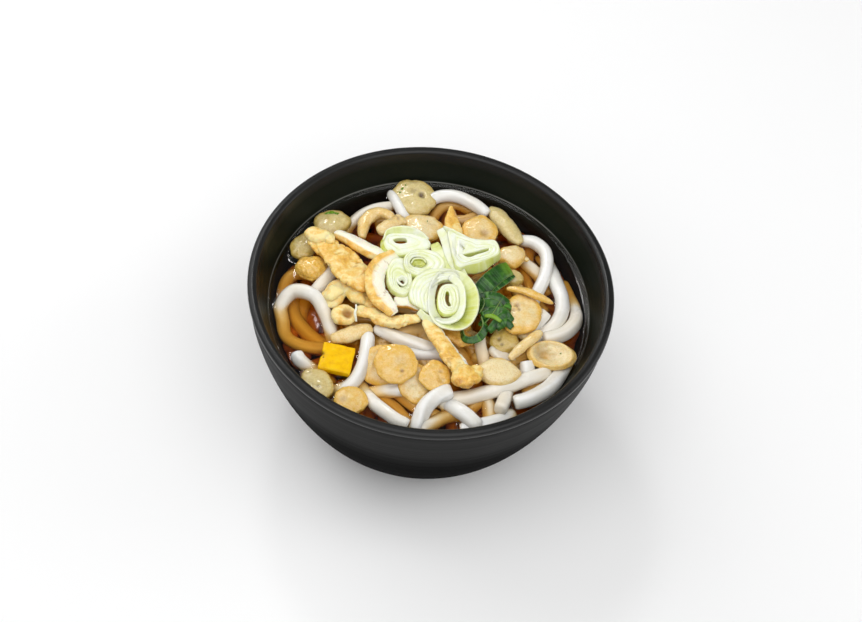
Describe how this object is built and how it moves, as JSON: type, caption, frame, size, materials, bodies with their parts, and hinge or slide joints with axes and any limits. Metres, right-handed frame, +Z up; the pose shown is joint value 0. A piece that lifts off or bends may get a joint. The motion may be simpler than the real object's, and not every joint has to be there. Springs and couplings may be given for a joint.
{
  "type": "udon noodle bowl",
  "caption": "Round black bowl filled with amber broth and thick white noodles, topped with fried batter bits, fried tofu strips, sliced long onion and a yellow square.",
  "frame": {"origin": "on the table under the centre of the bowl's foot", "axes": "+Z up along the bowl's axis; -Y is the front, the side nearest the viewer; +X to the viewer's right"},
  "size_m": [0.15, 0.1494, 0.08],
  "materials": {
    "bowl": "satin black, smooth, a slight sheen on the rim",
    "noodles": "wet ivory-white cooked wheat noodle",
    "broth": "clear amber-brown broth, still surface",
    "yellow_square": "bright yellow, wet, dark specks",
    "fried_batter": "crisp golden fried batter, knobbly",
    "soaked_batter": "fried batter soaked in broth, speckled and wet",
    "fried_tofu": "golden fried skin with a pale spongy cut edge",
    "onion_white": "wet, layered, white to yellow-green",
    "onion_green": "wet dark green leaf with fine ribs"
  },
  "bodies": {
    "root": {"bowl": "bowl", "noodles": "noodles", "broth": "broth", "yellow_square": "yellow_square", "batter_bit_01": "soaked_batter", "batter_bit_02": "soaked_batter", "batter_bit_03": "soaked_batter", "batter_bit_04": "fried_batter", "batter_bit_05": "fried_batter", "batter_bit_06": "fried_batter", "batter_bit_07": "fried_batter", "batter_bit_08": "fried_batter", "batter_bit_09": "soaked_batter", "batter_bit_10": "fried_batter", "batter_bit_11": "soaked_batter", "batter_bit_12": "fried_batter", "batter_bit_13": "fried_batter", "batter_bit_14": "fried_batter", "batter_bit_15": "fried_batter", "batter_bit_16": "fried_batter", "batter_bit_17": "fried_batter", "batter_bit_18": "fried_batter", "batter_bit_19": "fried_batter", "batter_bit_20": "fried_batter", "batter_bit_21": "fried_batter", "batter_bit_22": "fried_batter", "batter_bit_23": "soaked_batter", "batter_bit_24": "soaked_batter", "batter_bit_25": "soaked_batter", "tofu_strip_01": "fried_tofu", "tofu_strip_02": "fried_tofu", "tofu_strip_03": "fried_tofu", "tofu_strip_04": "fried_tofu", "tofu_strip_05": "fried_tofu", "tofu_strip_06": "fried_tofu", "tofu_strip_07": "fried_tofu", "tofu_strip_08": "fried_tofu", "tofu_strip_09": "fried_tofu", "tofu_strip_10": "fried_tofu", "onion_slice_1": "onion_white", "onion_slice_2": "onion_white", "onion_slice_3": "onion_white", "onion_slice_4": "onion_white", "onion_green_1": "onion_green", "onion_green_2": "onion_green", "onion_green_3": "onion_green"}
  },
  "joints": []
}
